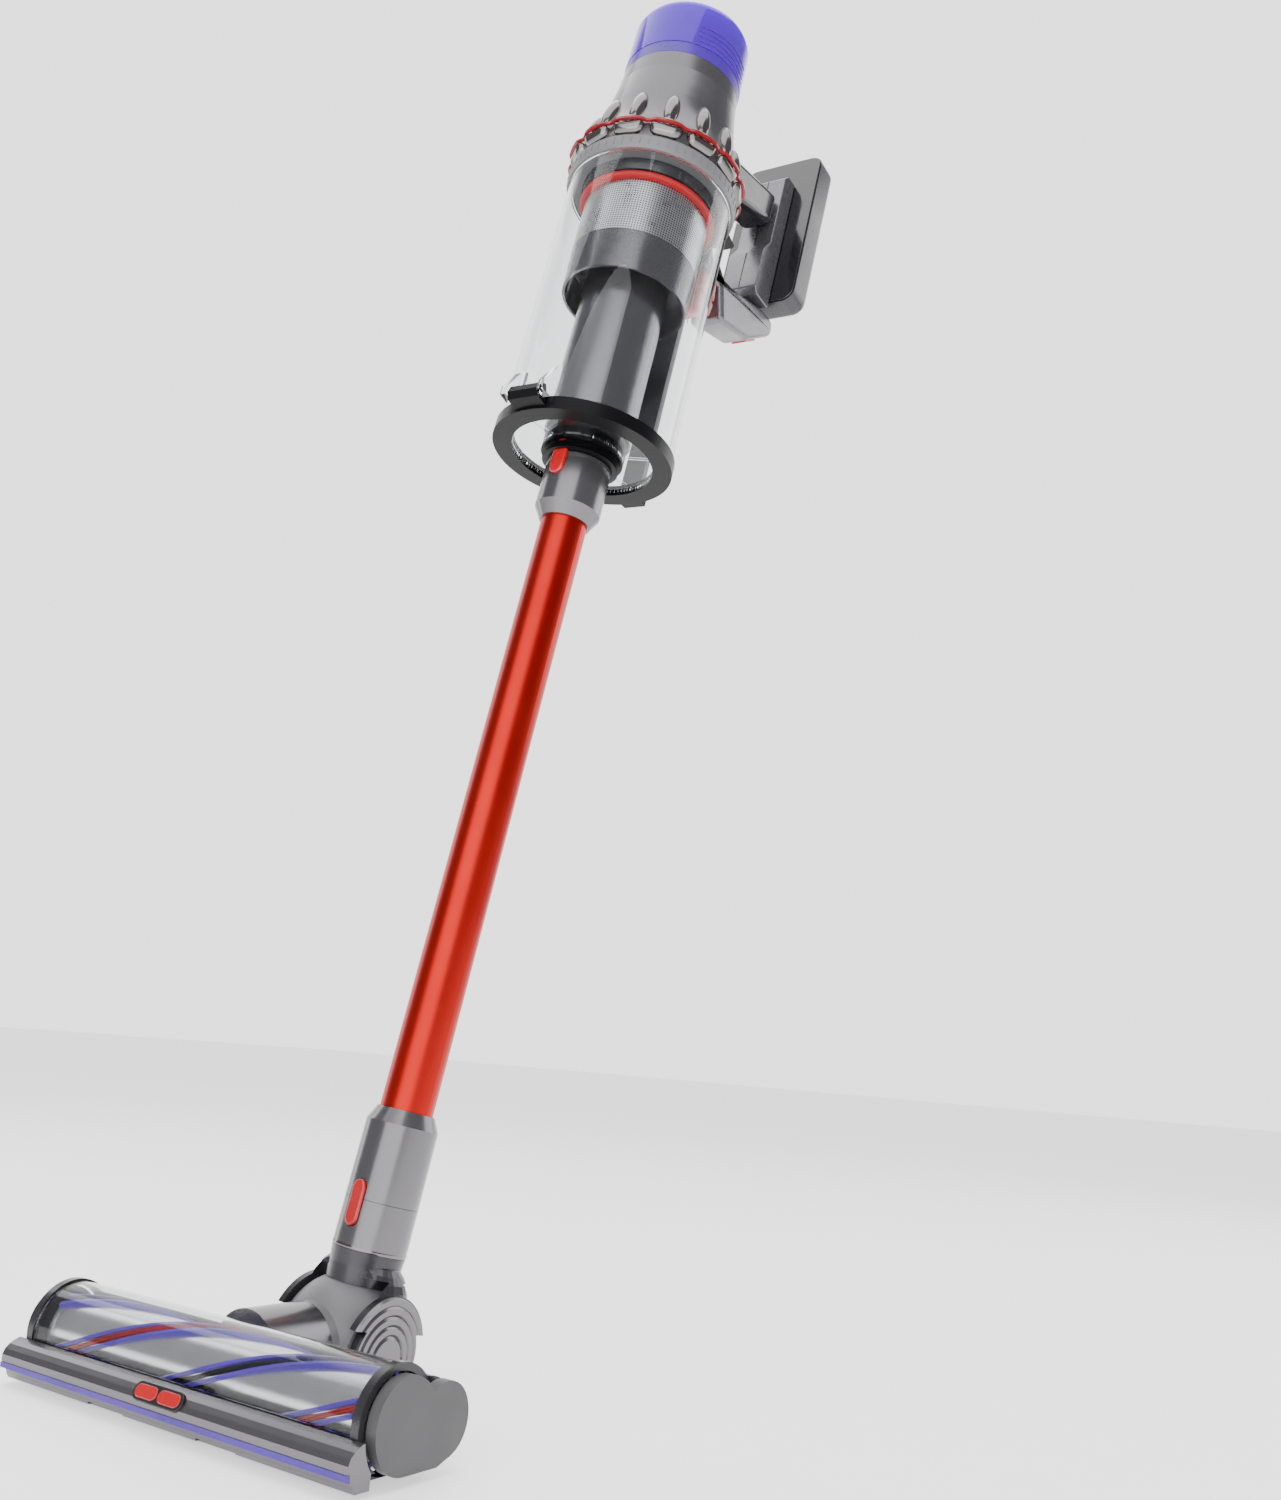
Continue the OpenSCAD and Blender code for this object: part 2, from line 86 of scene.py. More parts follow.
def setSockets(shader, sockets):
    for key, value in sockets.items():
        shader.inputs[key.replace("_", " ")].default_value = value


# What every moulded surface shares: sizes in millimetres, and the part of the noise that shows
skinLook = {"cloud": 55.56, "cloudDetail": 3, "smear": 18.18, "smearDetail": 4, "low": 0.3, "high": 0.7,
            "smoothest": 0.02, "skinDetail": 2, "skinHeight": 0.2}


def moulded(name, colour, darker, roughness, spread, grain, bump, **sockets):
    # A moulded or metallised surface: soft clouds of tone, uneven gloss and a fine skin.
    # grain is the size of the skin's bumps in millimetres, bump how strongly they show
    look = skinLook
    material, tree, shader = newMaterial(name)
    place = addNode(tree, "ShaderNodeTexCoord").outputs["Object"]
    clouds = addNode(tree, "ShaderNodeTexNoise",
                     {"Scale": 1000 / look["cloud"], "Detail": look["cloudDetail"]}, {"Vector": place})
    tone = addNode(tree, "ShaderNodeValToRGB",
                   {"stops": ((look["low"], linear(darker)), (look["high"], linear(colour)))},
                   {"Fac": clouds.outputs["Fac"]})
    tree.links.new(tone.outputs["Color"], shader.inputs["Base Color"])
    smears = addNode(tree, "ShaderNodeTexNoise",
                     {"Scale": 1000 / look["smear"], "Detail": look["smearDetail"]}, {"Vector": place})
    smooth = max(roughness - spread, look["smoothest"])
    gloss = addNode(tree, "ShaderNodeValToRGB",
                    {"stops": ((look["low"], grey(smooth)), (look["high"], grey(roughness + spread)))},
                    {"Fac": smears.outputs["Fac"]})
    tree.links.new(gloss.outputs["Color"], shader.inputs["Roughness"])
    if bump:
        skin = addNode(tree, "ShaderNodeTexNoise",
                       {"Scale": 1000 / grain, "Detail": look["skinDetail"]}, {"Vector": place})
        height = addNode(tree, "ShaderNodeBump", {"Strength": bump, "Distance": look["skinHeight"] * mm},
                         {"Height": skin.outputs["Fac"]})
        tree.links.new(height.outputs["Normal"], shader.inputs["Normal"])
    setSockets(shader, sockets)
    return material


def clearMoulded(name, colour, roughness, **sockets):
    # A polished see-through plastic: even all over, so what is behind it stays sharp
    material, _, shader = newMaterial(name)
    setSockets(shader, {"Base_Color": linear(colour), "Roughness": roughness, **sockets})
    return material


finishes = {
    # ABS metallised with nickel and lacquered: mid grey, satin, with soft broad reflections
    "nickelPlastic": moulded("metallisedAbs", "#706E71", "#6D6B6E", 0.22, 0.01, 0.9, 0.01, Metallic=0.85),
    "coneNickel": moulded("metallisedCone", "#616063", "#5F5E61", 0.22, 0.004, 0.9, 0.0, Metallic=0.8),
    # the same on a darker base: the structural shells look almost graphite
    "darkNickel": moulded("darkMetallisedAbs", "#434245", "#3B3A3D", 0.26, 0.04, 0.9, 0.05, Metallic=0.6),
    # bright nickel on moulded plastic: nearly a mirror, so it shows bright edges and dark middles
    "brightNickel": moulded("brightNickel", "#7A7776", "#6E6B6A", 0.15, 0.02, 2.0, 0.0, Metallic=1.0),
    # metal-flake lacquer on a casting: paler and softer than the nickel
    "silverPaint": moulded("silverPaint", "#757478", "#6E6D71", 0.28, 0.04, 0.5, 0.05, Metallic=0.7),
    # anodised aluminium tube: a coloured metal, satin, with one long highlight
    "redAnodised": moulded("anodisedAluminium", "#B4241F", "#AC201B", 0.34, 0.01, 0.6, 0.03, Metallic=1.0),
    # turned steel pins, screws and shafts: pale and slightly dull
    "steel": moulded("turnedSteel", "#B8B8BA", "#A8A8AB", 0.3, 0.05, 0.7, 0.05, Metallic=1.0),
    # enamelled copper windings: brown metal with a coarse, wound skin
    "copper": moulded("enamelledCopper", "#B5683A", "#99522B", 0.35, 0.05, 0.8, 0.4, Metallic=0.9),
    # moulded ABS with a fine spark-eroded texture: no sharp reflections
    "greyPlastic": moulded("greyAbs", "#6A696C", "#636265", 0.45, 0.05, 0.7, 0.12, IOR=1.54),
    "capPlastic": moulded("mattGreyAbs", "#4A494B", "#454446", 0.5, 0.04, 0.6, 0.2, IOR=1.54),
    "darkPlastic": moulded("blackAbs", "#1D1C1F", "#161518", 0.35, 0.06, 0.7, 0.1, IOR=1.54),
    # ABS from a polished mould: black with clear reflections
    "glossBlack": moulded("glossBlackAbs", "#1A191D", "#141317", 0.16, 0.04, 0.9, 0.02, IOR=1.54,
                          Coat_Weight=0.4),
    # black polycarbonate: a low index keeps its steep underside from turning grey
    "rimBlack": moulded("blackPolycarbonate", "#0C0C0E", "#09090B", 0.32, 0.02, 0.9, 0.02, IOR=1.2),
    # soft-touch elastomer: dull, with no highlight
    "softBlack": moulded("softTouchTpe", "#1B1A1C", "#131214", 0.6, 0.06, 0.5, 0.3, IOR=1.5),
    # glossy ABS for everything that a hand presses
    "redPlastic": moulded("redAbs", "#B80E14", "#A80B10", 0.28, 0.04, 0.8, 0.03, IOR=1.54, Coat_Weight=0.3),
    # tinted acrylic line around the cyclones: dark red with small bright glints
    "redTrim": moulded("darkRedAcrylic", "#8A1A20", "#761419", 0.18, 0.03, 2.0, 0.0, IOR=1.49),
    # silicone seal: saturated and soft
    "redSeal": moulded("redSilicone", "#C20F12", "#B00C0F", 0.42, 0.05, 0.8, 0.05, IOR=1.42),
    # polycarbonate walls: a low index keeps the glare of a thin wall down to a streak
    "clearPlastic": clearMoulded("clearPolycarbonate", "#F7F9FA", 0.0, IOR=1.25, Transmission_Weight=1.0),
    # tinted polycarbonate: the pleats behind it show as a darker body
    "violetClear": clearMoulded("violetPolycarbonate", "#6E30E4", 0.06, IOR=1.3, Transmission_Weight=0.6),
    "violetBand": moulded("violetTpe", "#45189E", "#3A128A", 0.3, 0.05, 0.8, 0.1, IOR=1.5),
    # pleated glass-fibre paper: dull, with a fuzzy edge to each fold
    "pleatPaper": moulded("pleatedFilterPaper", "#7036D8", "#5C28C0", 0.75, 0.08, 0.4, 0.6, Sheen_Weight=0.2),
    # needle felt: rough and without any highlight
    "violetFelt": moulded("violetFelt", "#44189E", "#381288", 0.85, 0.08, 0.35, 1.0, Sheen_Weight=0.4),
    # metallised roller tube: bright and slightly soft
    "satinCore": moulded("satinRollerTube", "#DAD8DA", "#D2D0D2", 0.24, 0.02, 0.8, 0.02, Metallic=0.9),
    # nylon pile and carbon-fibre bristles: dense, with a velvet edge
    "bristleRed": moulded("redNylon", "#C4101E", "#A20C18", 0.6, 0.1, 0.3, 0.8, Sheen_Weight=0.2),
    "bristleViolet": moulded("violetNylon", "#4A1CB4", "#3C1698", 0.65, 0.1, 0.3, 0.8, Sheen_Weight=0.3),
    "bristleBlack": moulded("carbonFibre", "#151417", "#0E0D10", 0.55, 0.1, 0.3, 0.4, Sheen_Weight=0.1),
    # glass over a dark display: black and mirror smooth
    "screenGlass": moulded("blackGlass", "#08080A", "#060608", 0.06, 0.02, 3.0, 0.0, IOR=1.5,
                           Coat_Weight=0.6),
    # solder mask on a circuit board, and shrink film on the cells: thin glossy coats
    "boardGreen": moulded("solderMask", "#14512C", "#0F4323", 0.35, 0.05, 0.8, 0.1, IOR=1.5),
    "cellWrap": moulded("shrinkWrap", "#2C6FA8", "#245E92", 0.3, 0.05, 0.8, 0.05, IOR=1.5),
}

# Steel sheet with fine holes in rows, drawn as dark spots of painted shade rather than cut. The pitch is
# coarser than the real one, so that it shows;
# hole and land are distances from a hole's middle, as shares of the pitch
sheetLook = {"pitch": 2.4, "hole": 0.24, "land": 0.36, "holeShadeTone": "#1E1E20", "steelTone": "#C9C9CB",
             "bump": 0.5, "bumpHeight": 0.2}


def perforatedSteel():
    look = sheetLook
    material = moulded("perforatedSteel", look["steelTone"], "#BDBDC0", 0.3, 0.05, 0.8, 0.0, Metallic=1.0)
    tree = material.node_tree
    shader = tree.nodes["Principled BSDF"]
    along = addNode(tree, "ShaderNodeUVMap", {"uv_map": "around"}).outputs["UV"]
    holes = addNode(tree, "ShaderNodeTexVoronoi", {"Scale": 1000 / look["pitch"], "Randomness": 0.0},
                    {"Vector": along}).outputs["Distance"]
    # each hole is a dark spot: painted shade where one would see into the dark inside
    stops = ((look["hole"], linear(look["holeShadeTone"])), (look["land"], linear(look["steelTone"])))
    tone = addNode(tree, "ShaderNodeValToRGB", {"stops": stops}, {"Fac": holes})
    tree.links.new(tone.outputs["Color"], shader.inputs["Base Color"])
    height = addNode(tree, "ShaderNodeBump", {"Strength": look["bump"], "Distance": look["bumpHeight"] * mm},
                     {"Height": holes})
    tree.links.new(height.outputs["Normal"], shader.inputs["Normal"])
    return material


finishes["perforatedSteel"] = perforatedSteel()
print("finishes made:", len(finishes))

# The finish of each CAD solid, also of those whose place a piece below takes
solidFinish = {
    "coneNickel": ["motor_housing"],
    "nickelPlastic": ["front_bumper", "shroud_skirt", "centre_duct", "neck_duct", "head_cuff", "upper_cuff",
                      "lower_cuff", "pivot_covers", "handle_rail"],
    "darkNickel": ["shroud_top", "handle_grip", "yoke", "head_body", "display_pod", "window_rings"],
    "brightNickel": ["cyclone_band", "cyclone_cups"],
    "silverPaint": ["handle_strut", "handle_base"],
    "redAnodised": ["wand_tube"],
    "steel": ["motor_rotor", "brush_motor", "handle_screws", "motor_frame"],
    "copper": ["motor_stator"],
    "greyPlastic": ["bin_collar", "elbow", "mode_button"],
    "capPlastic": ["left_cap", "end_cap"],
    "darkPlastic": ["bin_spine", "cable_channel"],
    "glossBlack": ["battery_case"],
    "rimBlack": ["flap_rim", "flap_nozzle"],
    "softBlack": ["trigger", "wheel_left", "wheel_right"],
    "redPlastic": ["bin_lever", "battery_button", "wand_button", "head_button", "suction_slider"],
    "redTrim": ["cyclone_trim"],
    "redSeal": ["red_seal"],
    "clearPlastic": ["bin_cylinder", "hinge_bracket", "flap_window", "head_window"],
    "violetClear": ["filter_cap"],
    "violetBand": ["filter_band"],
    "pleatPaper": ["filter_pleats"],
    "violetFelt": ["felt_strip"],
    "satinCore": ["brush_core"],
    "bristleViolet": ["brush_strips"],
    "screenGlass": ["display_screen"],
    "boardGreen": ["circuit_board"],
    "cellWrap": ["battery_cells"],
    "perforatedSteel": ["mesh_shroud"],
}
for finish, names in solidFinish.items():
    for name in names:
        nodes[name].data.materials.clear()
        nodes[name].data.materials.append(finishes[finish])

# Shapes


def keep(name, bm, place, body, finish, replaced=(), bevel=0, segments=3, sharp=35):
    # turns a bmesh in millimetres into a piece that rides on a body; bevel is in millimetres
    bmesh.ops.remove_doubles(bm, verts=bm.verts, dist=0.002)
    bmesh.ops.recalc_face_normals(bm, faces=bm.faces)
    bmesh.ops.transform(bm, matrix=place, verts=bm.verts)
    mesh = bpy.data.meshes.new(name)
    bm.to_mesh(mesh)
    bm.free()
    mesh.shade_smooth()
    mesh.set_sharp_from_angle(angle=math.radians(sharp))
    mesh.materials.append(finishes[finish])
    piece = bpy.data.objects.new(name, mesh)
    bpy.context.scene.collection.objects.link(piece)
    if bevel:
        edge = piece.modifiers.new("moulded edges", "BEVEL")
        edge.width = bevel * mm
        edge.segments = segments
        edge.limit_method = "ANGLE"
        edge.angle_limit = math.radians(sharp)
        edge.harden_normals = True
    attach(piece, body)
    if replaced:
        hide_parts(*replaced)
    return piece


def spinProfile(bm, points, steps=96):
    # turns a closed profile of (radius, height) points about Z
    verts = [bm.verts.new((r, 0, h)) for r, h in points]
    edges = [bm.edges.new(pair) for pair in zip(verts, verts[1:] + verts[:1])]
    bmesh.ops.spin(bm, geom=verts + edges, cent=(0, 0, 0), axis=(0, 0, 1), angle=2 * math.pi, steps=steps,
                   use_merge=True)


def extrude(bm, faces, way):
    # pulls faces out along a vector, with walls behind them
    moved = bmesh.ops.extrude_face_region(bm, geom=faces)["geom"]
    bmesh.ops.translate(bm, vec=way, verts=[v for v in moved if isinstance(v, bmesh.types.BMVert)])


def plate(bm, points, x0, x1):
    # a side profile of (y, z) points with a thickness along X
    face = bm.faces.new([bm.verts.new((x0, y, z)) for y, z in points])
    extrude(bm, [face], (x1 - x0, 0, 0))


def frontPlate(bm, points, y0, y1):
    # a profile of (x, z) points with a thickness along Y
    face = bm.faces.new([bm.verts.new((x, y0, z)) for x, z in points])
    extrude(bm, [face], (0, y1 - y0, 0))


def box(bm, middle, size, turn=None):
    # a box about its middle, turned where a turn is given
    matrix = Matrix.Translation(middle) @ (turn or Matrix.Identity(4)) @ Matrix.Diagonal((*size, 1))
    return bmesh.ops.create_cube(bm, size=1, matrix=matrix)["verts"]


def arc(middle, radius, start, end, steps=8):
    # points on a circle, as (first, second) coordinates; angles in degrees
    return [(middle[0] + radius * math.cos(math.radians(start + (end - start) * i / steps)),
             middle[1] + radius * math.sin(math.radians(start + (end - start) * i / steps)))
            for i in range(steps + 1)]


def capsulePoints(half, low, high, steps=12):
    # a long oval with round ends, as (x, z) points
    return (arc((0, low + half), half, 180, 360, steps) + arc((0, high - half), half, 0, 180, steps))


def around(angle):
    # a turn about the machine's axis, in degrees
    return Matrix.Rotation(math.radians(angle), 4, "Z")


# Filter

filterLook = {"low": 1113.3, "top": 1168.8, "radius": 55.8, "flare": 0.3, "corner": 11.8, "wall": 2.4,
              "foot": 2.2, "mouth": 36}
ribLook = {"stations": (1118.5, 1124, 1129.5, 1135), "turns": range(-44, 21, 4), "size": (1.2, 4.6, 1.4)}
foldLook = {"folds": 90, "outer": 51.5, "valley": 45.5, "inner": 38, "lift": 0.5, "top": 1158}


def ring(bm, outer, inner, low, high, segments):
    # a closed band between two rings; outer and inner give the radius at each segment
    for radius in (outer, inner):
        for i, vert in enumerate(bmesh.ops.create_circle(bm, segments=segments, radius=1)["verts"]):
            vert.co *= radius(i)
    faces = bmesh.ops.bridge_loops(bm, edges=bm.edges[:])["faces"]
    bmesh.ops.translate(bm, vec=(0, 0, low), verts=bm.verts)
    extrude(bm, faces, (0, 0, high - low))


def makeFilter():
    look = filterLook
    radius, top, corner, wall = (look[k] for k in ("radius", "top", "corner", "wall"))
    bend = (radius - corner, top - corner)
    bm = bmesh.new()
    spinProfile(bm, [(radius + look["flare"], look["low"])] + arc(bend, corner, 0, 90)
                + [(look["mouth"], top), (look["mouth"], top - wall)] + arc(bend, corner - wall, 90, 0)
                + [(radius - look["foot"], look["low"])])
    keep("filterShell", bm, wandFrame, "filter", "violetClear", ["filter_cap"])
    bm = bmesh.new()
    for station in ribLook["stations"]:
        for turn in ribLook["turns"]:
            box(bm, around(turn) @ Vector((radius, 0, station)), ribLook["size"], around(turn))
    keep("filterRibs", bm, wandFrame, "filter", "violetBand")
    fold = foldLook
    bm = bmesh.new()
    ring(bm, lambda i: fold["outer"] if i % 2 else fold["valley"], lambda i: fold["inner"],
         look["low"] + fold["lift"], fold["top"], 2 * fold["folds"])
    keep("filterFolds", bm, wandFrame, "filter", "pleatPaper", ["filter_pleats"], sharp=20)


makeFilter()

# Cyclones

cycloneLook = {"count": 14, "middle": 990.8, "radius": 72.5, "size": (20, 33, 13), "edge": 5.6,
               "lowWidth": 0.72, "lowShift": -2.5,
               "shoulder": ((70, 0, 998.5), (11.2, 13.6, 9)),
               "drop": ((67.6, 0, 1021), (7.4, 7.2, 22)), "dropTilt": -11}
skirtProfile = [(56, 984.3), (75.5, 984.3), (76.8, 996), (76, 1001), (71.5, 1012), (67.5, 1024), (65, 1036),
                (63.6, 1047.1), (56, 1047.1)]
# the red line bulges over each cup and dips between two; steps are the ring's segments per cup
trimLook = {"radius": 84, "dip": 3, "sharpness": 8, "steps": 16, "thick": 3, "low": 996, "high": 998.2}


def blob(bm, turn, middle, size, tilt=0):
    # a smooth rounded lump, turned about the machine's axis
    place = turn @ Matrix.Translation(middle) @ Matrix.Rotation(math.radians(tilt), 4, "Y")
    bmesh.ops.create_uvsphere(bm, u_segments=24, v_segments=14, radius=1,
                              matrix=place @ Matrix.Diagonal((*size, 1)))


def cup(bm, turn):
    # a rounded barrel that narrows and leans inwards below its middle
    look = cycloneLook
    verts = box(bm, (look["radius"], 0, look["middle"]), look["size"])
    for vert in [v for v in verts if v.co.z < look["middle"]]:
        vert.co.y *= look["lowWidth"]
        vert.co.x += look["lowShift"]
    edges = list({e for v in verts for e in v.link_edges})
    rounded = bmesh.ops.bevel(bm, geom=edges, offset=look["edge"], segments=4, profile=0.5,
                              affect="EDGES", material=-1)["verts"]
    bmesh.ops.rotate(bm, cent=(0, 0, 0), matrix=turn.to_3x3(), verts=list(set(rounded)))


def trimRadius(i):
    look = trimLook
    return look["radius"] - look["dip"] * abs(math.cos(math.pi * i / look["steps"])) ** look["sharpness"]


def makeCyclones():
    look = cycloneLook
    bm = bmesh.new()
    for i in range(look["count"]):
        turn = around(i * 360 / look["count"])
        cup(bm, turn)
        blob(bm, turn, *look["shoulder"])
        blob(bm, turn, *look["drop"], look["dropTilt"])
    keep("cycloneCups", bm, wandFrame, "handheld", "brightNickel", ["cyclone_cups"])
    bm = bmesh.new()
    spinProfile(bm, skirtProfile)
    keep("cycloneSkirt", bm, wandFrame, "handheld", "coneNickel", ["cyclone_band"])
    bm = bmesh.new()
    ring(bm, trimRadius, lambda i: trimRadius(i) - trimLook["thick"], trimLook["low"], trimLook["high"],
         look["count"] * trimLook["steps"])
    keep("cycloneTrim", bm, wandFrame, "handheld", "redTrim", ["cyclone_trim"])


makeCyclones()

# Collar, seal and mesh

collarLook = {"profile": [(64.3, 968.4), (78, 968.4), (79, 971), (79, 981), (77, 983.8), (64.3, 983.8)],
              "ticks": 60, "radius": 79, "station": 976, "tick": (0.9, 1.1, 6.4)}
shroudLook = {"radius": 57.5, "thick": 1.5, "low": 898, "high": 951, "steps": 128}
sealLook = {"inner": 57.6, "low": 951.2, "high": 957.9, "middle": (59.9, 954.6), "round": 3}


def makeCollar():
    look = collarLook
    bm = bmesh.new()
    spinProfile(bm, look["profile"])
    for i in range(look["ticks"]):
        turn = around(i * 360 / look["ticks"])
        box(bm, turn @ Vector((look["radius"], 0, look["station"])), look["tick"], turn)
    keep("binCollar", bm, wandFrame, "handheld", "greyPlastic", ["bin_collar"])


def makeShroud():
    look = shroudLook
    inner = look["radius"] - look["thick"]
    bm = bmesh.new()
    spinProfile(bm, [(look["radius"], look["low"]), (look["radius"], look["high"]), (inner, look["high"]),
                     (inner, look["low"])], steps=look["steps"])
    # the holes follow the way around the sheet, in metres
    layer = bm.loops.layers.uv.new("around")
    for face in bm.faces:
        middle = face.calc_center_median()
        base = math.atan2(middle.y, middle.x)
        for loop in face.loops:
            turn = math.atan2(loop.vert.co.y, loop.vert.co.x) - base
            turn = (turn + math.pi) % (2 * math.pi) - math.pi
            loop[layer].uv = ((base + turn) * look["radius"] * mm, loop.vert.co.z * mm)
    keep("shroudMesh", bm, wandFrame, "handheld", "perforatedSteel", ["mesh_shroud"])
    look = sealLook
    bm = bmesh.new()
    spinProfile(bm, [(look["inner"], look["low"])] + arc(look["middle"], look["round"], -90, 90)
                + [(look["inner"], look["high"])])
    keep("sealRing", bm, wandFrame, "handheld", "redSeal", ["red_seal"])


makeCollar()
makeShroud()

# Handle and battery

# side profiles as (y, z) points, and half widths along X
gripLook = {"side": [(60, 1048), (175.7, 1083.5), (175.7, 1122.5), (60, 1094.5)], "half": 17, "bevel": 8}
baseLook = {"side": [(166.2, 1001), (172, 994.3), (196.5, 994.3), (196.5, 1151.8), (182.5, 1151.8),
                     (176.4, 1145.5), (176.4, 1062), (166.2, 1046)],
            "half": 20, "bevel": 1.2}
seamLook = [((0, 176.3, 1104), (0.7, 0.5, 82)), ((0, 166.1, 1024), (0.7, 0.5, 42))]
strutLook = {"side": [(85.2, 991.5), (85.2, 964.5), (113, 964.5), (128, 930.5), (182, 946.5), (221.5, 978),
                      (217.8, 993), (196, 993), (104, 967.6), (97, 991.5)],
             "half": 16.9, "bevel": 6}
batteryLook = {"half": 45.9, "low": 1002.2, "high": 1187.8, "corner": 14, "inner": 199, "outer": 229.9,
               "edge": 9}
faceLook = {"inset": 1.2, "front": 197.1, "bevel": 0.8, "plugHalf": 13.8,
            "plug": [(178.2, 1044.6), (197.1, 1044.6), (197.1, 1104.4), (178.2, 1104.4)]}
leverLook = {"half": 17.5, "bevel": 4, "rod": ((0, 83.4, 840), (8, 4, 220)),
             "leverLower": [(85.7, 919.5), (92, 914.2), (108, 920), (110.8, 937.6), (85.7, 937.6)],
             "leverUpper": [(85.7, 938.4), (110.8, 938.4), (107.8, 959.8), (85.7, 961.8)]}


def roundedRect(half, low, high, corner):
    # an upright rectangle with round corners, as (x, z) points
    x, bottom, top = half - corner, low + corner, high - corner
    return (arc((x, bottom), corner, -90, 0) + arc((x, top), corner, 0, 90)
            + arc((-x, top), corner, 90, 180) + arc((-x, bottom), corner, 180, 270))


def makeHandle():
    look = gripLook
    bm = bmesh.new()
    plate(bm, look["side"], -look["half"], look["half"])
    keep("gripShell", bm, wandFrame, "handheld", "glossBlack", ["handle_grip"],
         bevel=look["bevel"], segments=6)
    look = baseLook
    bm = bmesh.new()
    plate(bm, look["side"], -look["half"], look["half"])
    keep("batteryBase", bm, wandFrame, "handheld", "silverPaint", ["handle_base"],
         bevel=look["bevel"])
    bm = bmesh.new()
    for middle, size in seamLook:
        box(bm, middle, size)
    keep("baseSeam", bm, wandFrame, "handheld", "darkPlastic")
    look = strutLook
    bm = bmesh.new()
    plate(bm, look["side"], -look["half"], look["half"])
    keep("strutBody", bm, wandFrame, "handheld", "silverPaint", ["handle_strut"],
         bevel=look["bevel"], segments=5)


def makeBattery():
    look = batteryLook
    half, low, high, corner = (look[k] for k in ("half", "low", "high", "corner"))
    bm = bmesh.new()
    frontPlate(bm, roundedRect(half, low, high, corner), look["inner"], look["outer"])
    edges = [e for e in bm.edges if all(v.co.y > look["outer"] - 0.1 for v in e.verts)]
    bmesh.ops.bevel(bm, geom=edges, offset=look["edge"], segments=6, profile=0.5, affect="EDGES", material=-1)
    keep("batteryShell", bm, wandFrame, "battery", "darkNickel", ["battery_case"], sharp=50)
    face = faceLook
    inset = face["inset"]
    bm = bmesh.new()
    frontPlate(bm, roundedRect(half - inset, low + inset, high - inset, corner - inset), face["front"],
               look["inner"])
    plate(bm, face["plug"], -face["plugHalf"], face["plugHalf"])
    keep("batteryFace", bm, wandFrame, "battery", "glossBlack", bevel=face["bevel"])


def makeLever():
    look = leverLook
    for name in ("leverLower", "leverUpper"):
        bm = bmesh.new()
        plate(bm, look[name], -look["half"], look["half"])
        keep(name, bm, wandFrame, "bin_lever", "redPlastic", ["bin_lever"],
             bevel=look["bevel"], segments=5)
    bm = bmesh.new()
    box(bm, *look["rod"])
    keep("leverRod", bm, wandFrame, "bin_lever", "redPlastic", bevel=1)


makeHandle()
makeBattery()
makeLever()

# Buttons on the cuffs

buttonLook = {"wandButtonCap": {"node": "wand_button", "half": 7, "low": 670, "high": 703.2,
                                "front": -30.6, "back": -25.6},
              "headButtonCap": {"node": "head_button", "half": 5.5, "low": 74, "high": 105,
                                "front": -28.6, "back": -24.6}}
yokeRingProfile = [(24, 60.4), (26.75, 60.4), (26.95, 61.4), (26.75, 62.4), (24, 62.4)]


def makeButtons():
    for name, look in buttonLook.items():
        bm = bmesh.new()
        frontPlate(bm, capsulePoints(look["half"], look["low"], look["high"]), look["front"], look["back"])
        keep(name, bm, wandFrame, look["node"], "redPlastic", [look["node"]], bevel=1.8,
             segments=4)
    bm = bmesh.new()
    spinProfile(bm, yokeRingProfile)
    keep("yokeRing", bm, wandFrame, "yoke", "brightNickel")


makeButtons()

# Flap and nozzle

flapLook = {"ribs": 6, "rib": (25, 0.8, 4), "radius": 49, "station": 705, "firstTurn": 18}
nozzleLook = {"inner": 28.4, "outer": 31.5, "low": 692, "high": 700, "ridges": 3, "pitch": 2.7, "ridge": 1.9,
              "ridgeHalf": 0.7}


def makeFlap():
    look = flapLook
    bm = bmesh.new()
    for i in range(look["ribs"]):
        turn = around(i * 360 / look["ribs"] + look["firstTurn"])
        box(bm, turn @ Vector((look["radius"], 0, look["station"])), look["rib"], turn)
    keep("flapRibs", bm, wandFrame, "flap", "clearPlastic")
    look = nozzleLook
    inner, outer = look["inner"], look["outer"]
    profile = [(inner, look["low"])]
    for i in range(look["ridges"]):
        start = look["low"] + look["pitch"] * i
        profile += [(outer, start), (outer + look["ridge"], start + look["ridgeHalf"]),
                    (outer, start + 2 * look["ridgeHalf"])]
    bm = bmesh.new()
    spinProfile(bm, profile + [(outer, look["high"]), (inner, look["high"])])
    keep("nozzleRings", bm, wandFrame, "flap", "rimBlack")


makeFlap()

# Brush bar

# angles in degrees; a group is two violet strips with a row of pile or bristles between them
brushLook = {"start": -140, "length": 280, "turn": -235, "steps": 96, "middle": (0, 37.5, 31.5),
             "root": 21.4, "tip": 25.2, "taper": 0.7,
             "groups": ((35, "bristleRed"), (125, "bristleBlack"), (215, "bristleRed"),
                        (305, "bristleBlack")),
             "violetSide": 9, "violetWidth": 8, "violetDrop": 0.8,
             "middleWidth": 5, "middleDrop": 2.2, "tuftSide": 2, "tuftRise": 0.2, "tuftCount": 170,
             "rows": (("bristleRed", "stripsRed", 0.8), ("bristleBlack", "stripsBlack", 0.5))}


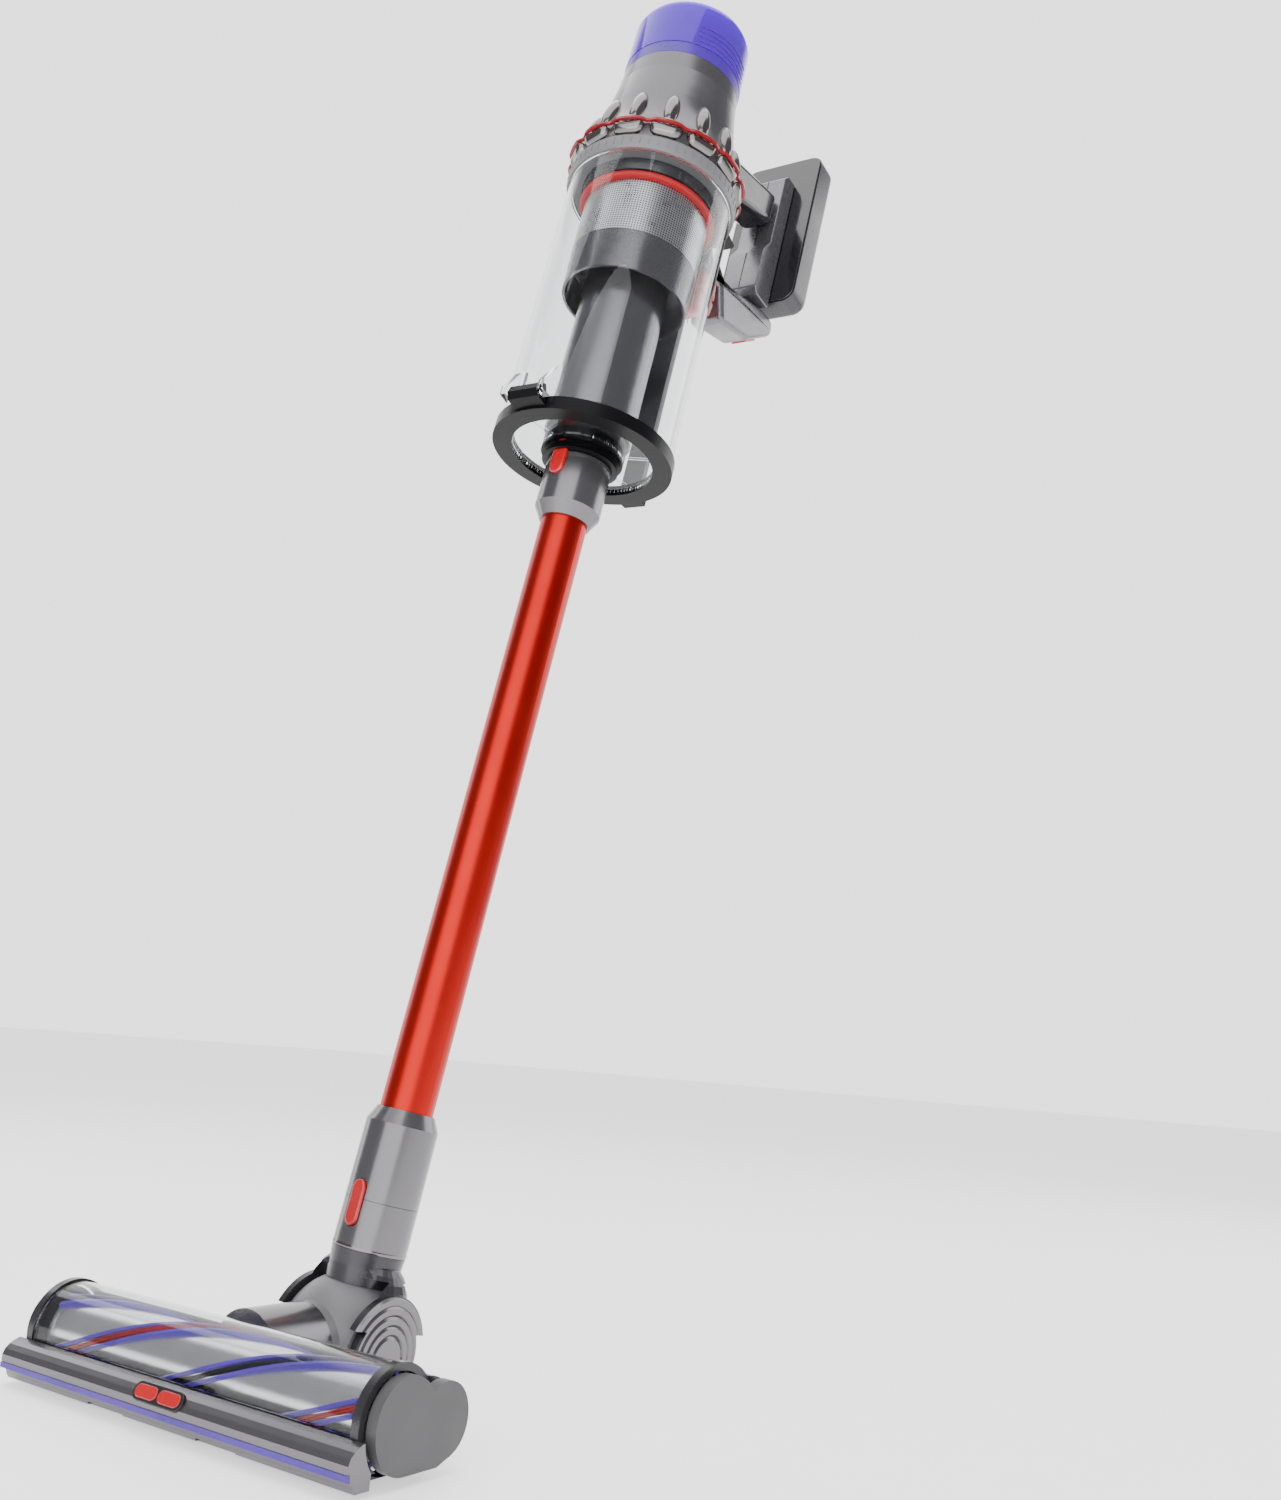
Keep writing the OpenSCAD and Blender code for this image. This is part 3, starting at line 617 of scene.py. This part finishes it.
def helix(bm, angle, width, root, tip):
    # one strip that winds along the brush bar
    look = brushLook
    half = math.radians(width / 2)
    narrow = half * look["taper"]
    middle = Vector(look["middle"])
    corners = []
    for radius, side in ((root, -half), (tip, -narrow), (tip, narrow), (root, half)):
        turn = math.radians(angle) + side
        corner = Vector((look["start"], radius * math.cos(turn), radius * math.sin(turn)))
        corners.append(bm.verts.new(middle + corner))
    face = bm.faces.new(corners)
    start = bmesh.ops.extrude_face_region(bm, geom=[face])["geom"]
    last = [f for f in start if isinstance(f, bmesh.types.BMFace)]
    bmesh.ops.spin(bm, geom=last + list(last[0].edges) + list(last[0].verts), cent=middle, axis=(1, 0, 0),
                   dvec=(look["length"] / look["steps"], 0, 0), angle=math.radians(look["turn"]),
                   steps=look["steps"])


def tufts(bm, angle, root, tip, count, radius):
    # a row of short bristles that winds with the strips
    look = brushLook
    middle = Vector(look["middle"])
    for i in range(count):
        share = (i + 0.5) / count
        along = Matrix.Translation(middle + Vector((look["start"] + look["length"] * share, 0, 0)))
        turn = Matrix.Rotation(math.radians(angle + look["turn"] * share), 4, "X")
        outwards = Matrix.Translation((0, (root + tip) / 2, 0)) @ Matrix.Rotation(math.radians(-90), 4, "X")
        bmesh.ops.create_cone(bm, cap_ends=True, segments=5, radius1=radius, radius2=radius * 0.5,
                              depth=tip - root, matrix=along @ turn @ outwards)


def makeBrush():
    look = brushLook
    root, tip = look["root"], look["tip"]
    bm = bmesh.new()
    for angle, _ in look["groups"]:
        for side in (-look["violetSide"], look["violetSide"]):
            helix(bm, angle + side, look["violetWidth"], root, tip - look["violetDrop"])
    keep("stripsViolet", bm, headFrame, "brush_bar", "bristleViolet", ["brush_strips"], sharp=30)
    for finish, name, radius in look["rows"]:
        bm = bmesh.new()
        for angle in [a for a, kind in look["groups"] if kind == finish]:
            helix(bm, angle, look["middleWidth"], root, tip - look["middleDrop"])
            for side in (-look["tuftSide"], look["tuftSide"]):
                tufts(bm, angle + side, root, tip + look["tuftRise"], look["tuftCount"], radius)
        keep(name, bm, headFrame, "brush_bar", finish)


makeBrush()

# Head

# the caps' outline goes round the roller and then round the lobe behind it
capLook = {"roller": (37.5, 31.5), "rollerRadius": 25.3, "rollerTurn": (270, 34.8, 24),
           "lobe": (70.5, 29.5), "lobeRadius": 20.5, "lobeTurn": (126.6, -75, 20),
           "heel": (66, 6.2), "inner": 152.4, "outer": 159.9}
# an oval is half its height, its two ends along X, and its front and back
sliderLook = {"middle": (0, -4.3, 22.4), "lean": -29.3, "recess": (5.4, -22.6, 22.6, -0.2, 2.5),
              "ovals": ((3.9, -20.3, -0.5, -0.8, 1), (3.9, 0.5, 20.3, -0.8, 1))}


def makeCaps():
    look = capLook
    side = (arc(look["roller"], look["rollerRadius"], *look["rollerTurn"])
            + arc(look["lobe"], look["lobeRadius"], *look["lobeTurn"]) + [look["heel"]])
    for name, x0, x1, body, node in (("endCapRight", look["inner"], look["outer"], "end_cap", "end_cap"),
                                     ("endCapLeft", -look["outer"], -look["inner"], "head", "left_cap")):
        bm = bmesh.new()
        plate(bm, side, x0, x1)
        keep(name, bm, headFrame, body, "capPlastic", [node], bevel=1.2, sharp=40)


def lyingOval(bm, half, x0, x1, front, back):
    # an oval with round ends that lies along X
    frontPlate(bm, arc((x0 + half, 0), half, 90, 270) + arc((x1 - half, 0), half, -90, 90), front, back)


def makeSlider():
    look = sliderLook
    lean = Matrix.Rotation(math.radians(look["lean"]), 4, "X")
    place = headFrame @ Matrix.Translation(look["middle"]) @ lean
    bm = bmesh.new()
    lyingOval(bm, *look["recess"])
    keep("sliderRecess", bm, place, "head", "darkPlastic", bevel=0.4)
    bm = bmesh.new()
    for oval in look["ovals"]:
        lyingOval(bm, *oval)
    keep("sliderCap", bm, place, "suction_slider", "redPlastic", ["suction_slider"], bevel=0.7)


makeCaps()
makeSlider()

# Studio

# The backdrop is bright within about 40 degrees of straight behind the machine (away) and shaded on its
# near sides; bright and shaded are the angles, in radians, where the change starts and ends.
# A light has its place and size in metres and its power in watts
studio = {"floor": 40, "floorGlow": 0.9, "brightTone": "#FFFFFF", "shadeTone": "#6E6E71", "strength": 2.3,
          "away": (-0.591, 0.807, 0), "across": (0.807, 0.591, 0), "bright": 0.62, "shaded": 0.95,
          "aim": (0, 0, 0.65),
          "lights": (("key", (0.72, -2.1, 1.1), (2.7, 2.8), 70), ("left", (-2.4, -0.2, 1.2), (0.6, 2.4), 14),
                     ("top", (0.0, -0.3, 3.2), (3.0, 3.0), 85), ("rim", (1.2, 2.2, 1.6), (1.6, 1.6), 25))}
viewpoint = {"place": (0.6944, -0.87238, 0.23332), "around": 36.22, "up": -16.35, "roll": 4.55,
             "lens": 32.474, "shift": (0.0415, -0.0603)}


def makeFloor():
    bm = bmesh.new()
    bmesh.ops.create_grid(bm, x_segments=8, y_segments=8, size=studio["floor"] / 2)
    mesh = bpy.data.meshes.new("floor")
    bm.to_mesh(mesh)
    bm.free()
    # painted board with a faint glow, so that it meets the backdrop softly
    mesh.materials.append(moulded("studioFloor", "#F6F6F5", "#F4F4F3", 0.6, 0.03, 2.0, 0.0,
                                  Emission_Color=(1, 1, 1, 1), Emission_Strength=studio["floorGlow"]))
    floor = bpy.data.objects.new("floor", mesh)
    bpy.context.scene.collection.objects.link(floor)


def makeBackdrop():
    world = bpy.data.worlds.new("studio")
    bpy.context.scene.world = world
    world.use_nodes = True
    tree = world.node_tree
    background = tree.nodes["Background"]
    towards = addNode(tree, "ShaderNodeTexCoord").outputs["Generated"]
    across, away = (addNode(tree, "ShaderNodeVectorMath", {"operation": "DOT_PRODUCT", 1: studio[side]},
                            {0: towards}).outputs["Value"] for side in ("across", "away"))
    angle = addNode(tree, "ShaderNodeMath", {"operation": "ARCTAN2"}, {0: across, 1: away})
    size = addNode(tree, "ShaderNodeMath", {"operation": "ABSOLUTE"}, {0: angle.outputs[0]})
    stops = ((studio["bright"], linear(studio["brightTone"])),
             (studio["shaded"], linear(studio["shadeTone"])))
    tone = addNode(tree, "ShaderNodeValToRGB", {"stops": stops}, {"Fac": size.outputs[0]})
    tree.links.new(tone.outputs["Color"], background.inputs["Color"])
    background.inputs["Strength"].default_value = studio["strength"]


def makeLights():
    for name, place, size, power in studio["lights"]:
        lamp = bpy.data.lights.new(name, "AREA")
        lamp.shape = "RECTANGLE"
        lamp.size, lamp.size_y = size
        lamp.energy = power
        holder = bpy.data.objects.new(name, lamp)
        holder.location = place
        aim = Vector(studio["aim"]) - Vector(place)
        holder.rotation_euler = aim.to_track_quat("-Z", "Y").to_euler()
        bpy.context.scene.collection.objects.link(holder)


def makeCamera():
    look = viewpoint
    turn, up, roll = (math.radians(look[k]) for k in ("around", "up", "roll"))
    back = Vector((math.sin(turn) * math.cos(up), -math.cos(turn) * math.cos(up), math.sin(up)))
    right = Vector((math.cos(turn), math.sin(turn), 0))
    above = back.cross(right)
    sideways = right * math.cos(roll) + above * math.sin(roll)
    upwards = above * math.cos(roll) - right * math.sin(roll)
    camera = bpy.data.cameras.new("camera")
    camera.sensor_fit = "VERTICAL"
    camera.sensor_height = 36
    camera.lens = look["lens"]
    camera.shift_x, camera.shift_y = look["shift"]
    camera.clip_start = 0.05
    holder = bpy.data.objects.new("camera", camera)
    facing = Matrix((sideways, upwards, back)).transposed().to_4x4()
    holder.matrix_world = Matrix.Translation(look["place"]) @ facing
    bpy.context.scene.collection.objects.link(holder)
    bpy.context.scene.camera = holder


makeFloor()
makeBackdrop()
makeLights()
makeCamera()
print("studio and camera set")
